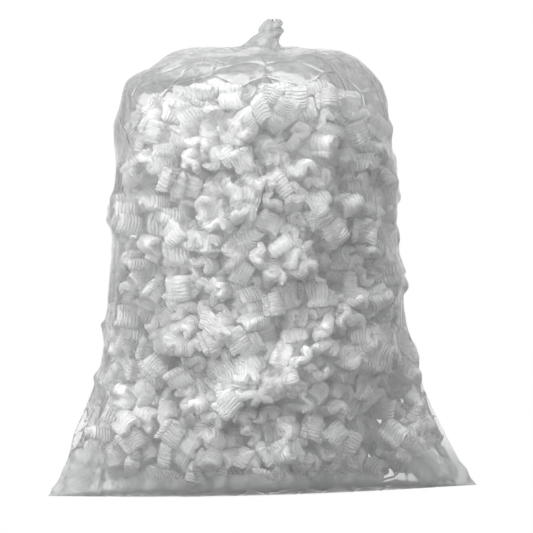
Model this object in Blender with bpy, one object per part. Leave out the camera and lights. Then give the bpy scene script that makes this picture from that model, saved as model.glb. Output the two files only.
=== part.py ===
"""Packing peanut bag: clear film, tied in its own knot and full of S-shaped foam loose fill.

The bag is a length of lay-flat tube with a straight heat seal across its bottom. Filled, it is
nearly round at its middle and flat at the two ears where the seal ends. The frame has +Z up and
the seal along X, and its origin is under the middle of the bag, on the surface that it stands on.
"""

import math
import random

import bmesh
import bpy
import numpy as np
from mathutils import Matrix, Vector

# The bag, in metres
LAY_FLAT_WIDTH = 0.523  # the empty tube, and so from ear tip to ear tip
FLOOR_WIDTH = 0.368  # the body's width at the floor, without its ears
TOP_WIDTH = 0.336  # the same width carried up to the top of the shoulders
BODY_DEPTH = 0.300
BAG_HEIGHT = 0.540  # to the top of the shoulders, without the knot
EAR_RISE = 0.100  # the height over which the ears' reach falls to about a third
EAR_CUSP = 1.4  # how much flatter than an ellipse the section is between its ears
BOTTOM_ROUND = 0.055  # radius of the film's turn from the floor to the front
SHOULDER_DROP = 0.090
SHOULDER_REACH = 0.104
SHOULDER_DEPTH = 0.092

# The film, drawn thicker than the real 0.04 mm so that it is a solid wall
FILM = 0.0010
FOLD_EDGE = 0.0013  # half the thickness of the two layers at the side folds
SEAL_WIDTH = 0.008
SEAL_GROOVE = 0.0006
EAR_FOLD = 0.0035  # height of the folds that fan out from each ear
EAR_FOLDS = 3
LUMP_HEIGHT = 0.0060  # how far the film sags in between the lumps of the fill
LUMP_PITCH = 0.100
GATHERS = 9
GATHER_HEIGHT = 0.0050
SLACK = 0.0045  # swell of the loose film over the fill
DRAPES = 7  # soft folds down the shoulders, between the fill and the gathers
DRAPE_HEIGHT = 0.0060

# The gathered neck and its knot
NECK_OFFSET = 0.017  # the knot stands right of the middle
NECK_WIDTH = 0.042
CROWN_RISE = 0.0080  # the crown's hollow slope, from the shoulders up to the neck
KNOT_WIDTH = 0.031
KNOT_HEIGHT = 0.035
KNOT_LEAN = 0.011  # how far the knot's end leans out, to the right
MOUTH_WIDTH = 0.011  # the film's open end, which stands out of the knot
KNOT_CREASE = 0.0022

# The fill
HEADROOM = 0.043  # slack film above the highest peanut
CORE_INSET = 0.014  # from the film to the fused mass between the peanuts
EAR_GAP = 0.026  # the fused mass stops short of the ears by this much more
PEANUT_LENGTH = 0.038
PEANUT_WIDTH = 0.023
PEANUT_RIBBON = 0.0095  # thickness of the S-shaped ribbon
PEANUT_CUT = 0.030  # length that is cut from the extruded ribbon
PEANUT_REACH = math.hypot(PEANUT_LENGTH, PEANUT_WIDTH, PEANUT_CUT)
SEAT_PITCH = 0.061  # from one peanut's seat to the next
BEDDED = 0.004  # how deep each peanut stands in the fused mass, at the least
EAR_REACH = 0.048  # no peanut's seat is nearer to an ear's edge than this
LOOSE_COUNT = 54  # peanuts that are separate pieces

CLEARANCE = 0.0003  # between pieces that touch
FACET_ROOM = 0.0020  # how far the film's facets cut inside its true curve
FRONT_SPANS = 18  # facets across the front of the film, and across its back
CORE_SPANS = 12
SAMPLE_SPANS = 120
SEED = 11

# Rows of the film, each a level section: its z, half width, half depth, cusp power and middle x
FLOOR_ROWS = 4
WALL_ROWS = 14
SHOULDER_ROWS = 5
CROWN_ROWS = 3


def clear_scene():
    for thing in list(bpy.data.objects):
        bpy.data.objects.remove(thing)


def material(name, colour, roughness, alpha=1.0):
    """A Principled material with the part's colour, in linear RGB."""
    made = bpy.data.materials.new(name)
    made.use_nodes = True
    shader = made.node_tree.nodes["Principled BSDF"]
    shader.inputs["Base Color"].default_value = (*colour, 1.0)
    shader.inputs["Roughness"].default_value = roughness
    shader.inputs["Metallic"].default_value = 0.0
    shader.inputs["Alpha"].default_value = alpha
    return made


def add_object(name, bm, finish, hidden=False):
    """Turns a bmesh into an object. A hidden one is only a cutter."""
    mesh = bpy.data.meshes.new(name)
    bm.to_mesh(mesh)
    bm.free()
    made = bpy.data.objects.new(name, mesh)
    bpy.context.scene.collection.objects.link(made)
    if finish:
        mesh.materials.append(finish)
    if hidden:
        made.hide_render = True
        made.display_type = "WIRE"
    return made


# The form of the filled bag


def ear_share(z):
    """How much of the ears' reach is left at a height, from 1 at the floor to 0."""
    return math.exp(-max(z, 0.0) / EAR_RISE)


def turn(share):
    """How far a quarter-round has come in, from 0 to 1, at a share of its length."""
    return 1.0 - math.sqrt(max(0.0, 1.0 - min(max(share, 0.0), 1.0) ** 2))


def level(z, top, inset, ear_gap=0.0):
    """A level section of the bag's form under a flat top, moved in by an inset."""
    body = (FLOOR_WIDTH + (TOP_WIDTH - FLOOR_WIDTH) * z / BAG_HEIGHT) / 2
    ears = (LAY_FLAT_WIDTH - FLOOR_WIDTH) / 2 - ear_gap
    shoulder = turn((z - top + SHOULDER_DROP) / SHOULDER_DROP)
    floor = turn(1.0 - z / BOTTOM_ROUND)
    half_width = body + ears * ear_share(z) - SHOULDER_REACH * shoulder - inset
    half_depth = (
        BODY_DEPTH / 2 - BOTTOM_ROUND * floor - SHOULDER_DEPTH * shoulder - inset
    )
    return z, half_width, half_depth, 1.0 + EAR_CUSP * ear_share(z), 0.0


def heights(top, floor_rows, wall_rows, shoulder_rows):
    """Heights of the rows: close together where the film turns, even on the wall."""
    quarter = math.pi / 2
    found = [
        BOTTOM_ROUND * (1 - math.cos(quarter * k / floor_rows))
        for k in range(floor_rows)
    ]
    wall = top - SHOULDER_DROP - BOTTOM_ROUND
    found += [BOTTOM_ROUND + wall * k / wall_rows for k in range(wall_rows)]
    found += [
        top - SHOULDER_DROP + SHOULDER_DROP * math.sin(quarter * k / shoulder_rows)
        for k in range(shoulder_rows + 1)
    ]
    return found


def half_ring(row, side, spans, edge):
    """The points of a row's front (side -1) or back (side 1), from -X to +X."""
    z, half_width, half_depth, power, middle = row
    points = []
    for k in range(spans + 1):
        angle = math.pi * (k / spans - 0.5)
        bulge = max(math.cos(angle), 0.0) ** power
        y = side * (edge + (half_depth - edge) * bulge)
        points.append(Vector((middle + half_width * math.sin(angle), y, z)))
    return points


def ring(row, spans, edge):
    """A whole row, anticlockwise seen from above."""
    return half_ring(row, -1, spans, edge) + half_ring(row, 1, spans, edge)[::-1]


def skin(bm, rings, inward=False):
    """Joins rings of vertices into a wall that faces out, or in."""
    for low, high in zip(rings, rings[1:]):
        for k, corner in enumerate(low):
            after = (k + 1) % len(low)
            face = (corner, low[after], high[after], high[k])
            bm.faces.new(face[::-1] if inward else face)


# The film


def film_rows(inset):
    """The film's rows from the floor to the open end above the knot."""
    span = (BAG_HEIGHT - 2 * inset) / BAG_HEIGHT
    rows = []
    for z in heights(BAG_HEIGHT, FLOOR_ROWS, WALL_ROWS, SHOULDER_ROWS):
        row = level(z, BAG_HEIGHT, inset)
        rows.append((inset + z * span, *row[1:]))
    start = rows[-1]
    neck = NECK_WIDTH / 2 - inset
    for k in range(1, CROWN_ROWS + 1):
        share = k / CROWN_ROWS
        z = start[0] + CROWN_RISE * share**2
        width = start[1] + (neck - start[1]) * share
        depth = start[2] + (neck - start[2]) * share
        rows.append((z, width, depth, 1.0, NECK_OFFSET * share))
    foot = BAG_HEIGHT + CROWN_RISE
    for share, width in (
        (0.12, 1.14 * KNOT_WIDTH),
        (0.32, 1.03 * KNOT_WIDTH),
        (0.52, 0.93 * KNOT_WIDTH),
        (0.72, 0.80 * KNOT_WIDTH),
        (0.90, 0.58 * KNOT_WIDTH),
        (1.00, MOUTH_WIDTH),
    ):
        half = width / 2 - inset
        middle = NECK_OFFSET + KNOT_LEAN * share
        z = foot + (KNOT_HEIGHT - CROWN_RISE) * share
        rows.append((z, half, half, 1.0, middle))
    return rows


def sag(point):
    """How far the film of the body lies in at a place, between lumps of the fill."""
    x, y, z = point
    wall_end = BAG_HEIGHT - SHOULDER_DROP
    first = math.sin(2 * math.pi * (x + 0.4 * z + 0.6 * y) / LUMP_PITCH)
    second = math.sin(2 * math.pi * (0.9 * z - 0.5 * x + 0.7 * y) / LUMP_PITCH + 1.0)
    round_share = min(1.0, abs(y) / BOTTOM_ROUND + (z / wall_end) ** 2)
    ends = min(1.0, z / BOTTOM_ROUND, max(0.0, wall_end - z) / BOTTOM_ROUND)
    return LUMP_HEIGHT * (0.5 - 0.25 * (first + second)) * round_share * ends


def shaped(point, row, inset):
    """Moves a point of the film by its folds: ear fans, slack, gathers and knot."""
    z, half_width, _, _, middle = row
    away = Vector((point.x - middle, point.y, 0.0))
    angle = math.atan2(away.y, away.x)
    out = away.normalized() if away.length > 0 else Vector((1.0, 0.0, 0.0))
    wall_end = BAG_HEIGHT - SHOULDER_DROP
    if z < wall_end:
        tip = LAY_FLAT_WIDTH / 2
        fan = math.atan2(z, tip - abs(point.x) + EAR_FOLD)
        ridge = math.sin(2 * math.pi * EAR_FOLDS * fan / (math.pi / 2))
        near = abs(point.x) / tip
        body = min(1.0, abs(point.y) / BOTTOM_ROUND) * min(1.0, z / BOTTOM_ROUND)
        lift = EAR_FOLD * ridge * near**2 * body * (1 - z / wall_end)
        return point + out * (lift - sag(point))
    if z <= BAG_HEIGHT + CROWN_RISE:
        share = (z - wall_end) / SHOULDER_DROP
        full = NECK_WIDTH / 2 / max(half_width, NECK_WIDTH / 2)
        loose = math.sin(math.pi * min(share, 1.0))
        swell = SLACK * math.sin(3 * angle + 0.7) * loose
        swell += DRAPE_HEIGHT * math.sin(DRAPES * angle + 1.9) * loose
        pleat = GATHER_HEIGHT * math.cos(GATHERS * angle) * share**2 * full**0.5
        return point + out * swell + Vector((0.0, 0.0, pleat - GATHER_HEIGHT * share**2))
    crease = (z - BAG_HEIGHT) / KNOT_HEIGHT - 0.5 - 0.2 * math.sin(angle)
    groove = KNOT_CREASE * math.exp(-((crease / 0.14) ** 2))
    pleat = 0.3 * GATHER_HEIGHT * math.cos(GATHERS * angle)
    room = max(half_width - 0.0005, 0.0) / (KNOT_WIDTH / 2)
    return point + out * (pleat - groove) * min(room, 1.0)


def film_rings(bm, inset, edge):
    rings = []
    for row in film_rows(inset):
        points = ring(row, FRONT_SPANS, edge)
        rings.append([bm.verts.new(shaped(p, row, inset)) for p in points])
    return rings


def seal_floor(bm, outline):
    """The underside: flat, with the heat seal tucked up in a groove from ear to ear."""
    count = FRONT_SPANS
    front = outline[: count + 1]
    back = outline[count + 1 :][::-1]
    lines = []
    for k in range(1, count):
        x, y = back[k].co.x, back[k].co.y
        half = min(SEAL_WIDTH / 2, 0.6 * y)
        depth = SEAL_GROOVE if 1 < k < count - 1 else 0.0
        places = ((x, -half, 0.0), (x, 0.0, depth), (x, half, 0.0))
        lines.append([bm.verts.new(place) for place in places])
    for k, (low, high) in enumerate(zip(lines, lines[1:]), 1):
        bm.faces.new((front[k], low[0], high[0], front[k + 1]))
        bm.faces.new((low[0], low[1], high[1], high[0]))
        bm.faces.new((low[1], low[2], high[2], high[1]))
        bm.faces.new((low[2], back[k], back[k + 1], high[2]))
    left, right = lines[0], lines[-1]
    bm.faces.new((front[0], back[0], back[1], left[2], left[1], left[0], front[1]))
    last = (front[count - 1], right[0], right[1], right[2], back[count - 1])
    bm.faces.new((*last, back[count], front[count]))


def make_film(finish):
    bm = bmesh.new()
    outer = film_rings(bm, 0.0, FOLD_EDGE)
    inner = film_rings(bm, FILM, FOLD_EDGE - FILM)
    skin(bm, outer)
    skin(bm, inner, inward=True)
    skin(bm, [outer[-1], inner[-1]])
    seal_floor(bm, outer[0])
    count = FRONT_SPANS
    front = inner[0][: count + 1]
    back = inner[0][count + 1 :][::-1]
    for k in range(count):
        bm.faces.new((front[k], front[k + 1], back[k + 1], back[k]))
    bmesh.ops.triangulate(bm, faces=bm.faces)
    return add_object("bag_film", bm, finish)


# The peanuts


def peanut_outline(grow=0.0):
    """The S of a peanut: a ribbon along a wave with one wide arch and one hook."""
    half = PEANUT_RIBBON / 2 + grow
    reach = PEANUT_LENGTH / 2 - PEANUT_RIBBON / 2
    rise = PEANUT_WIDTH / 2 - PEANUT_RIBBON / 2
    wave = [(-1.0, -0.8), (-0.72, 0.85), (-0.1, 0.85), (0.32, -0.85), (1.0, -0.45)]
    line = [Vector((x * reach, y * rise)) for x, y in wave]
    line[0] -= (line[1] - line[0]).normalized() * grow
    line[-1] += (line[-1] - line[-2]).normalized() * grow
    left, right = [], []
    for k, here in enumerate(line):
        before = (here - line[k - 1]).normalized() if k else None
        after = (line[k + 1] - here).normalized() if k + 1 < len(line) else None
        along = ((before or after) + (after or before)).normalized()
        straight = along.dot(before or after)
        across = Vector((-along.y, along.x)) * half / straight
        left.append(here + across)
        right.append(here - across)
    return right + left[::-1]


def add_peanut(bm, place):
    """Adds a peanut's prism at a place."""
    half = PEANUT_CUT / 2
    corners = [Vector((p.x, p.y, -half)) for p in peanut_outline()]
    base = bm.faces.new([bm.verts.new(place @ c) for c in corners])
    raised = bmesh.ops.extrude_face_region(bm, geom=[base])
    moved = [v for v in raised["geom"] if isinstance(v, bmesh.types.BMVert)]
    bmesh.ops.translate(bm, verts=moved, vec=place.to_3x3() @ Vector((0, 0, 2 * half)))


def add_pocket(bm, place):
    """Adds the room that a peanut needs, with the two hollows of its S filled in."""
    half = PEANUT_CUT / 2 + CLEARANCE
    flat = peanut_outline(CLEARANCE)
    corners = [place @ Vector((p.x, p.y, z)) for p in flat for z in (-half, half)]
    hull = bmesh.ops.convex_hull(bm, input=[bm.verts.new(c) for c in corners])
    inside = [v for v in hull["geom_interior"] if isinstance(v, bmesh.types.BMVert)]
    bmesh.ops.delete(bm, geom=inside, context="VERTS")


def fill_rows():
    """Many rows over the outside of the fill: up its sides, then in across its top."""
    top = BAG_HEIGHT - HEADROOM
    inset = FILM + EAR_FOLD + LUMP_HEIGHT + FACET_ROOM
    rows = [level(z, top, inset) for z in heights(top, 20, 80, 40)]
    last = rows[-1]
    steps = 24
    for k in range(1, steps):
        share = 1 - k / steps
        rows.append((last[0], last[1] * share, last[2] * share, 1.0, 0.0))
    return rows


def seats():
    """Places for peanuts against the film, with the way out at each."""
    rows = fill_rows()
    grid = np.array([ring(row, SAMPLE_SPANS, 0.0) for row in rows])
    around = np.roll(grid, -1, axis=1) - np.roll(grid, 1, axis=1)
    up = np.gradient(grid, axis=0)
    out = np.cross(around, up)
    out /= np.maximum(np.linalg.norm(out, axis=2, keepdims=True), 1e-12)
    climb = np.linalg.norm(np.diff(grid[:, SAMPLE_SPANS // 2], axis=0), axis=1)
    climb = np.concatenate([[0.0], np.cumsum(climb)])
    chosen = []
    for turn_number in range(int((climb[-1] - SEAT_PITCH / 2) / SEAT_PITCH) + 1):
        here = int(np.searchsorted(climb, SEAT_PITCH * (turn_number + 0.55)))
        here = min(here, len(rows) - 1)
        steps = np.linalg.norm(np.diff(grid[here], axis=0), axis=1)
        length = np.concatenate([[0.0], np.cumsum(steps)])
        places = max(1, round(length[-1] / SEAT_PITCH))
        for k in range(places):
            want = length[-1] * (k + 0.25 + 0.5 * (turn_number % 2)) / places
            near = min(int(np.searchsorted(length, want)), grid.shape[1] - 1)
            reach = LAY_FLAT_WIDTH / 2 - EAR_REACH
            point = Vector(grid[here, near])
            if abs(point.x) < reach:
                chosen.append((point, Vector(out[here, near])))
    samples = grid.reshape(-1, 3), out.reshape(-1, 3)
    return chosen, samples


def peanut_corners(place):
    half = PEANUT_CUT / 2
    flat = peanut_outline()
    return [place @ Vector((p.x, p.y, z)) for p in flat for z in (-half, half)]


def seated(point, out, chance, samples):
    """A peanut turned at random about its seat and moved in until it clears the film."""
    first = out.orthogonal().normalized()
    second = out.cross(first)
    frame = Matrix((first, second, out)).transposed()
    spin = Matrix.Rotation(chance.uniform(0, 2 * math.pi), 3, "Z")
    end_on = chance.random() < 0.3
    tip = Matrix.Rotation(0.0 if end_on else math.pi / 2, 3, "X")
    roll = Matrix.Rotation(chance.uniform(0, 2 * math.pi), 3, "Z")
    turned = (frame @ spin @ tip @ roll).to_4x4()
    points, normals = samples
    middle = point.copy()
    for _ in range(4):
        place = Matrix.Translation(middle) @ turned
        lowest = min(corner.z for corner in peanut_corners(place))
        raised = max(0.0, FILM + 2 * CLEARANCE - lowest)
        middle.z += raised
        place = Matrix.Translation(middle) @ turned
        depths = []
        for corner in peanut_corners(place):
            apart = np.linalg.norm(points - np.array(corner), axis=1)
            near = int(np.argmin(apart))
            depths.append(float((points[near] - np.array(corner)) @ normals[near]))
        shallow = CORE_INSET + BEDDED - max(depths)
        middle -= out * max(CLEARANCE - min(depths), shallow)
    return Matrix.Translation(middle) @ turned


def make_core(finish):
    """The fused mass of the fill, which carries every peanut round its outside."""
    top = BAG_HEIGHT - HEADROOM - CORE_INSET
    floor = FILM + CLEARANCE
    bm = bmesh.new()
    rings = []
    for z in heights(top, 2, 6, 3):
        row = level(z, top, CORE_INSET, EAR_GAP)
        row = (max(row[0], floor), *row[1:])
        points = half_ring(row, -1, CORE_SPANS, 0.0)
        points += half_ring(row, 1, CORE_SPANS, 0.0)[-2:0:-1]
        rings.append([bm.verts.new(p) for p in points])
    skin(bm, rings)
    bm.faces.new(rings[0][::-1])
    bm.faces.new(rings[-1])
    bmesh.ops.triangulate(bm, faces=bm.faces)
    return add_object("loose_fill", bm, finish)


def boolean(target, cutter, operation):
    change = target.modifiers.new(cutter.name, "BOOLEAN")
    change.operation = operation
    change.solver = "EXACT"
    change.object = cutter


def make_fill(finish):
    """The fused mass with its peanuts in relief, and the separate ones in pockets."""
    chance = random.Random(SEED)
    found, samples = seats()
    placed = []
    for point, out in found:
        place = seated(point, out, chance, samples)
        apart = [(place.translation - other.translation).length for other in placed]
        if min(apart, default=PEANUT_REACH) >= PEANUT_REACH:
            placed.append(place)
    count = min(LOOSE_COUNT, len(placed))
    loose = {round(k * len(placed) / count) for k in range(count)}
    core = make_core(finish)
    relief, pockets = bmesh.new(), bmesh.new()
    pattern = bmesh.new()
    add_peanut(pattern, Matrix.Identity(4))
    bmesh.ops.triangulate(pattern, faces=pattern.faces)
    shape = bpy.data.meshes.new("peanut")
    pattern.to_mesh(shape)
    pattern.free()
    shape.materials.append(finish)
    number = 0
    for k, place in enumerate(placed):
        if k not in loose:
            add_peanut(relief, place)
            continue
        number += 1
        add_pocket(pockets, place)
        peanut = bpy.data.objects.new(f"peanut_{number:02d}", shape)
        peanut.matrix_world = place
        bpy.context.scene.collection.objects.link(peanut)
    for bm in (relief, pockets):
        bmesh.ops.triangulate(bm, faces=bm.faces)
    boolean(core, add_object("fill_relief", relief, finish, hidden=True), "UNION")
    boolean(core, add_object("fill_pockets", pockets, finish, hidden=True), "DIFFERENCE")


def main():
    clear_scene()
    film = material("clear_polythene_film", (0.80, 0.81, 0.82), 0.12, 0.35)
    foam = material("white_polystyrene_foam", (0.83, 0.83, 0.83), 0.75)
    make_film(film)
    make_fill(foam)


main()
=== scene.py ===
"""The looks of a clear polythene bag, tied in its own knot and full of S-shaped foam peanuts.

The peanuts are packed by pushing 1,400 of them apart inside the bag, round the separate ones of
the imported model. The film starts as a flat sheet, is rolled into a tube, sealed across its bottom
and wrapped over them.
"""

import math

import bpy
import numpy as np
from mathutils import Matrix, Vector
from mathutils.bvhtree import BVHTree


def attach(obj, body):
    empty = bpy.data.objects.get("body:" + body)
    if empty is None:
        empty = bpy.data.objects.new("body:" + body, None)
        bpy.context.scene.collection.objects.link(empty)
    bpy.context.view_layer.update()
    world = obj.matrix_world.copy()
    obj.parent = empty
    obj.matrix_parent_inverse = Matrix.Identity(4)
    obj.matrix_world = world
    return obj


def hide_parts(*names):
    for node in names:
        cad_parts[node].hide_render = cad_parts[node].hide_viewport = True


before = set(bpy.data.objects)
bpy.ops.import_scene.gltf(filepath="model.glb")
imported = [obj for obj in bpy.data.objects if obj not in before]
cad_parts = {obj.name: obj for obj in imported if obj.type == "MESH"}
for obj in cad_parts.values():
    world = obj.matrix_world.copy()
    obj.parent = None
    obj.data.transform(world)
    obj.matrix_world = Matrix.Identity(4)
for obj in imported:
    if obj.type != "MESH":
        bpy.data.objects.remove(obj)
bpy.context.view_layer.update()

MM = 0.001

# The bag's form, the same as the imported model's
FLAT_WIDTH = 523 * MM
FLOOR_WIDTH = 368 * MM
TOP_WIDTH = 336 * MM
BODY_DEPTH = 300 * MM
BAG_HEIGHT = 540 * MM
EAR_RISE = 100 * MM
EAR_CUSP = 1.4
BOTTOM_ROUND = 55 * MM
SHOULDER_DROP = 90 * MM
SHOULDER_REACH = 104 * MM
SHOULDER_DEPTH = 92 * MM
WALL_END = BAG_HEIGHT - SHOULDER_DROP
EAR_FOLD = 3.5 * MM
LUMP_HEIGHT = 6 * MM  # how far the film sags in between lumps of the fill
LUMP_PITCH = 100 * MM
SLACK = 4.5 * MM  # height of three broad waves at the shoulders
DRAPES = 7
DRAPE_HEIGHT = 6 * MM
GATHERS = 9
GATHER_HEIGHT = 5 * MM
NECK_WIDTH = 42 * MM
NECK_OFFSET = 17 * MM
CROWN_RISE = 8 * MM
KNOT_WIDTH = 31 * MM
KNOT_HEIGHT = 35 * MM
KNOT_LEAN = 11 * MM
FILL_TOP = 496 * MM

# A peanut: an S-shaped ribbon of foam, cut to length
PEANUT_LENGTH = 38 * MM
PEANUT_WIDTH = 23 * MM
PEANUT_RIBBON = 9.5 * MM
PEANUT_CUT = 30 * MM
PEANUT_WAVE = ((-1.0, -0.8), (-0.72, 0.85), (-0.1, 0.85), (0.32, -0.85), (1.0, -0.45))
RIB_COUNT = 7
RIB_HEIGHT = 0.45 * MM
RIM = 0.72  # share of the half cut where the rim starts to thin
RIM_THINNING = 0.32
END_REACH = 5 * MM  # the ribbon's two ends thin over this length
END_THINNING = 0.42
CUT_CROWN = 0.10  # how much narrower the S is at its cuts than in its middle
SHARP = math.radians(72)  # edges sharper than this aren't smoothed
PLAIN_CUTS = (-1.0, -RIM, RIM, 1.0)
PLAIN_SPANS = 9
FINE_CUTS = np.linspace(-1, 1, 15)
FINE_SPANS = 20

# How one peanut differs from the next
SQUEEZE = ((0.88, 0.88, 0.82), (1.02, 1.02, 1.0))  # smallest and largest shares of its size
TWIST = 0.22  # radians, from the middle to a cut
DENT = 1.0 * MM
FINE_DENT = 0.4 * MM
DENT_LENGTHS = (26 * MM, 17 * MM, 11 * MM)
TORN = 0.40 * MM  # roughness of a cut end
SKIN = 0.18 * MM  # and of the skin between

# The fill
FILL_COUNT = 1400
BALL = 5.1 * MM  # radius of the balls that stand for a peanut while it is packed
START_CLEAR = 12 * MM  # peanuts start this far inside the film, floor and roof
START_SIZE = 0.45  # and at this share of their size
PACK_STEPS = 120
GROW_STEPS = 60
PAIR_STEPS = 4  # near pairs are listed again after this many steps
PAIR_SPARE = 2 * MM
PUSH_GAIN = 0.55
PUSH_LIMIT = 20 * MM
LEAST_TOUCHING = 3
FILM_GAP = -4.5 * MM  # from a peanut to the film's own form; below 0 it pushes the film out
FLOOR_GAP = 1.6 * MM
FLOOR_FILM = 1.2 * MM  # no part of a peanut lies lower than this
FILL_ROUND = 100 * MM  # the fill draws back from the film below this height
FILL_TUCK = 24 * MM
SEAM_OFF = 0.2 * MM
LEAN_REACH = 9 * MM  # peanuts this near to the film are pressed against it
LEAN_PULL = 0.25
FACING_SHARE = 0.38  # of the peanuts start with a cut end towards the film
SEED = 5

# The film's mesh and how it lies over the peanuts
FILM_CELL = 3.1 * MM
FILM_DIP = 8 * MM  # how far the film dips between peanuts, at the most
FILM_PROUD = 7 * MM  # how far a peanut may push it out
FILM_BEND = 60 * MM  # radius to which the film sags between peanuts
BEND_CELLS = 7  # its ball rolls over this many cells each way
DIP_SHARE = 0.6  # of its half thickness the bag may dip
THIN_ROOM = 16 * MM  # kept between the film's two layers
FILM_OFF = 1.3 * MM  # from the peanuts to the film
LOOSE_FROM = 500 * MM  # height from which the film lies on nothing
FLOOR_REST = (2 * MM, 22 * MM)  # heights between which the film leaves the floor
TUCK_REACH = 12 * MM  # peanuts' corners are pressed back under the film from this far out
TUCK = 0.5 * MM  # and end this far under it

# Forms low on the film. A band is a rise and a fall, each a pair of heights.
LEFT_BULGE = (85 * MM, 50 * MM, 5 * MM)  # height, size and how far it stands out
LEFT_SIDE = 5.5 * MM  # how much fuller the left side is, over this band
SIDE_BAND = ((30 * MM, 80 * MM), (440 * MM, 490 * MM))
LEFT_SHOULDER = (512 * MM, 20 * MM, 11 * MM)
EAR_PLEATS = ((9, 1.3, 0.8, 1.0), (23, 0.0, 2.0, 0.5))  # number, two shifts and share of the height
EAR_PLEAT_HEIGHT = 3.4 * MM
EAR_PLEAT_REACH = 190 * MM
SIDE_FADE = 25 * MM  # the ears' folds fade out this near to the side seam
FLOOR_FADE = 40 * MM
SEAL_FOLD_PITCH = 17 * MM
SEAL_FOLD_DRIFT = 90 * MM  # length over which the pitch changes
SEAL_FOLD_HEIGHT = 1.0 * MM
SEAL_FOLD_BAND = ((1 * MM, 8 * MM), (20 * MM, 45 * MM))

# Taut creases on the front: x and z of both ends in metres, then width and height
CREASES = (
    ((0.097, 0.303), (0.177, 0.350), 5 * MM, 2.6 * MM),
    ((0.056, 0.262), (0.109, 0.303), 5 * MM, 2.6 * MM),
    ((0.121, 0.089), (0.153, 0.113), 6 * MM, 2.0 * MM),
    ((-0.182, 0.305), (-0.131, 0.248), 7 * MM, 2.0 * MM),
    ((-0.205, 0.060), (-0.150, 0.150), 7 * MM, 2.4 * MM),
    ((-0.215, 0.035), (-0.120, 0.075), 7 * MM, 2.0 * MM),
    ((0.205, 0.060), (0.165, 0.160), 7 * MM, 2.4 * MM),
    ((0.215, 0.035), (0.130, 0.070), 7 * MM, 2.0 * MM),
    ((0.020, 0.330), (0.024, 0.392), 6 * MM, 1.5 * MM),
)

# The slack crown: puffs and dips with their places in metres, sizes and heights, and crumpling
CROWN_PUFFS = (
    ((0.112, -0.030, 0.525), 30 * MM, 7 * MM),
    ((0.050, 0.0, 0.545), 26 * MM, -7 * MM),
    ((-0.062, -0.020, 0.540), 40 * MM, 5 * MM),
    ((-0.024, -0.010, 0.542), 18 * MM, -4 * MM),
    ((-0.050, -0.075, 0.530), 16 * MM, 5 * MM),
    ((0.030, -0.085, 0.520), 14 * MM, 5 * MM),
    ((0.078, -0.070, 0.510), 15 * MM, 6 * MM),
    ((-0.100, -0.060, 0.515), 18 * MM, 6 * MM),
    ((0.150, -0.030, 0.487), 20 * MM, -4 * MM),
)
FACETS = ((42 * MM, 3, 14 * MM), (19 * MM, 4, 4 * MM))  # size, seed and height
FACET_BOW = 0.3  # how far a facet is bowed
FACET_SQUASH = 0.8  # of their height while facets are laid out
CRUMPLE_FROM = 10 * MM  # below the wall's end
CRUMPLE_BAND = (WALL_END - 5 * MM, 525 * MM)
CRUMPLE_DROP = 6 * MM
PROUD_SHARE = 0.3  # what stands out is pressed flatter than what falls in
FLAT_TOP = (522 * MM, 538 * MM)
FLAT_TOP_SHARE = 0.75  # how much flatter the crumpling is on the very top
SIDE_SHARE = 0.35  # of the crumpling is left at the sides
RADIAL_FOLDS = 22
RADIAL_WIDTHS = (0.06, 0.2)  # radians
RADIAL_LENGTHS = (60, 150)  # mm, as the heights are
RADIAL_HEIGHTS = (2.5, 6.0)
SINK = 2.0 * MM  # of the crown between the knot and the shoulders
SINK_HEIGHTS = (515 * MM, 538 * MM)
SINK_RADII = (18 * MM, 45 * MM)
SLUMP = 8 * MM  # how far the shoulders slump to the left
SLUMP_BAND = ((440 * MM, 500 * MM), (536 * MM, 546 * MM))

# The knot. Its form is widths at shares of its height, beside KNOT_WIDTH.
KNOT_FORM = (
    (0.0, 1.42), (0.12, 1.3), (0.32, 1.2), (0.52, 1.06), (0.72, 0.94), (0.9, 0.66), (1.0, 0.4),
)
KNOT_BEND = 5.5 * MM  # how far right of its line it stands at the foot
KNOT_UNBEND = 3.5 * MM  # and how much of that is gone at the top
RUCKS = 3
RUCK_HEIGHT = 2.2 * MM
RUCK_TWIST = 2.2
RUFFLES = 9
RUFFLE_HEIGHT = 1.3 * MM
RUFFLE_RISE = (0.6, 1.0)
WRAP = (0.52, 0.2, 0.6)  # height share, slant and turn of the groove where the film is wound
WRAP_GROOVE = (0.0, 0.08, 4.2 * MM)  # offset, size and depth
WRAP_RIM = (-0.2, 0.12, 1.6 * MM)
MOUTH_RISE = (0.86, 1.0)
MOUTH_WAVES = 7
MOUTH_WAVE = 1.8 * MM
MOUTH_DROP = 1.5 * MM

# Where the film is slack, doubled or sealed, and so looks milkier. The band along the bottom is also
# painted shade, greyer where the film turns under towards the floor.
SLACK_CROWN = (478 * MM, 512 * MM)
SLACK_CROWN_SHARE = 0.22
TIED_BELOW = 4 * MM
TIP_REACH = (155 * MM, 205 * MM)
TIP_HEIGHTS = (20 * MM, 70 * MM)
TIP_SHARE = 0.9
# The band along the bottom: partly the milkier sealed, doubled film, partly painted shade where the
# film turns under towards the floor
SEAL_SHADE_HEIGHTS = (6 * MM, 27 * MM)
SEAL_SHADE_UNEVEN = ((19 * MM, 5 * MM), (7.3 * MM, 3 * MM))  # length and height of the band's waves
SEAL_SHADE_SHARE = 0.55

# The foam's patterns. Real cells are under 1 mm, too fine to show, and are drawn coarser.
CELL_CLUSTER = 9 * MM
CLUSTER_DEPTH = 2.4 * MM
TORN_CELL = 2.2 * MM
TORN_DEPTH = 3.5 * MM
RIB_PITCH = 4.3 * MM
RIB_DEPTH = 2.1 * MM
WAVE_BANDS = 20 / math.tau  # bands a metre in a wave texture of scale 1

# The film's patterns
RIPPLE = 14 * MM
RIPPLE_DEPTH = 1.5 * MM
CRINKLE = 46 * MM
CRINKLE_WIDTH = 0.06  # share of the crinkle's size
CRINKLE_DEPTH = 1.2 * MM
HAZE_FACING = 0.23
HAZE_GRAZING = 0.245
HAZE_SLACK = 0.45
HAZE_THROUGH = 0.45  # share of the haze that glows from behind

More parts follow.
